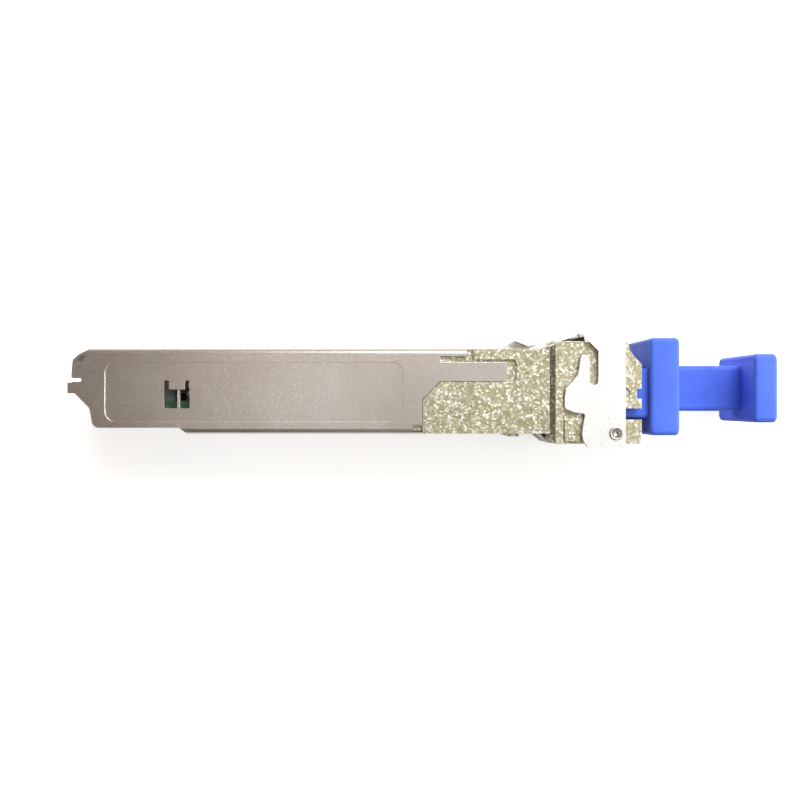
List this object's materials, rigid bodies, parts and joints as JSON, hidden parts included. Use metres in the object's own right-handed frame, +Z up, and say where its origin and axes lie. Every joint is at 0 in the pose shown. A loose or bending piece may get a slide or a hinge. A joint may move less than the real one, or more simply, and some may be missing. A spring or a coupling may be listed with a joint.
{
  "type": "pluggable optical transceiver module",
  "caption": "Slim metal-cased pluggable fibre-optic transceiver with a card edge at the rear, a swinging release bail, a latch actuator and a blue dust plug in its duplex port.",
  "frame": {"origin": "in the plane of the shoulder that stops the module against its cage, half way across, level with the underside of the case", "axes": "+X out of the front, where the fibres plug in; +Y to the left as seen from the front, so away from a viewer of the side with +X to the right; +Z up, out of the case's roof"},
  "size_m": [0.0704, 0.0152, 0.0114],
  "materials": {
    "cast_housing": "nickel-plated zinc die casting, fine grained",
    "case_steel": "nickel-plated sheet, satin",
    "spring_steel": "thin spring sheet, bright",
    "bail_steel": "bright plated stamping",
    "axle_steel": "turned tube",
    "plug_rubber": "matt moulded rubber",
    "board_laminate": "solder mask, semi-gloss",
    "gold_fingers": "gold plated",
    "chip_black": "moulded package",
    "chip_grey": "moulded package, grey-green",
    "resistor_black": "film on ceramic, tinned ends",
    "capacitor_tan": "fired ceramic, tinned ends",
    "ferrite_grey": "sintered ferrite",
    "barrel_steel": "turned stainless steel",
    "zirconia": "polished zirconia",
    "can_gold": "gold plated header and cap",
    "flex_amber": "polyimide film over copper",
    "pad_grey": "soft silicone gap filler"
  },
  "bodies": {
    "root": {"front_housing": "cast_housing", "rear_case": "case_steel", "ground_spring": "spring_steel", "printed_circuit_board": "board_laminate", "contact_fingers_top": "gold_fingers", "contact_fingers_bottom": "gold_fingers", "controller_chip": "chip_black", "laser_driver_chip": "chip_black", "amplifier_chip": "chip_black", "supply_chip": "chip_grey", "memory_chip": "chip_black", "chip_resistors": "resistor_black", "chip_capacitors": "capacitor_tan", "ferrite_beads": "ferrite_grey", "board_retainer": "spring_steel", "thermal_pad": "pad_grey", "transmitter_barrel": "barrel_steel", "transmitter_sleeve": "zirconia", "transmitter_ferrule_stub": "zirconia", "transmitter_can": "can_gold", "transmitter_leads": "gold_fingers", "transmitter_flex_circuit": "flex_amber", "receiver_barrel": "barrel_steel", "receiver_sleeve": "zirconia", "receiver_ferrule_stub": "zirconia", "receiver_can": "can_gold", "receiver_leads": "gold_fingers", "receiver_flex_circuit": "flex_amber", "optics_bracket": "case_steel", "shield_plate": "spring_steel"},
    "bail": {"bail": "bail_steel", "pivot_axle": "axle_steel", "crank": "axle_steel"},
    "actuator": {"actuator_plate": "spring_steel"},
    "plug": {"dust_plug": "plug_rubber"}
  },
  "joints": [
    {"name": "bail_hinge", "type": "hinge", "parent": "root", "child": "bail", "pos_m": [0.00641, 0, 0.00005], "axis": [0, 1, 0], "range_deg": [0, 85]},
    {"name": "actuator_slide", "type": "slide", "parent": "root", "child": "actuator", "axis": [-1, 0, 0], "range_m": [0, 0.00156]},
    {"name": "plug_pull", "type": "slide", "parent": "root", "child": "plug", "axis": [1, 0, 0], "range_m": [0, 0.034]}
  ],
  "couplings": [
    {"joint": "bail_hinge", "follows": "plug_pull", "rad_per_m": 43.633},
    {"joint": "actuator_slide", "follows": "plug_pull", "ratio": 0.045706}
  ]
}
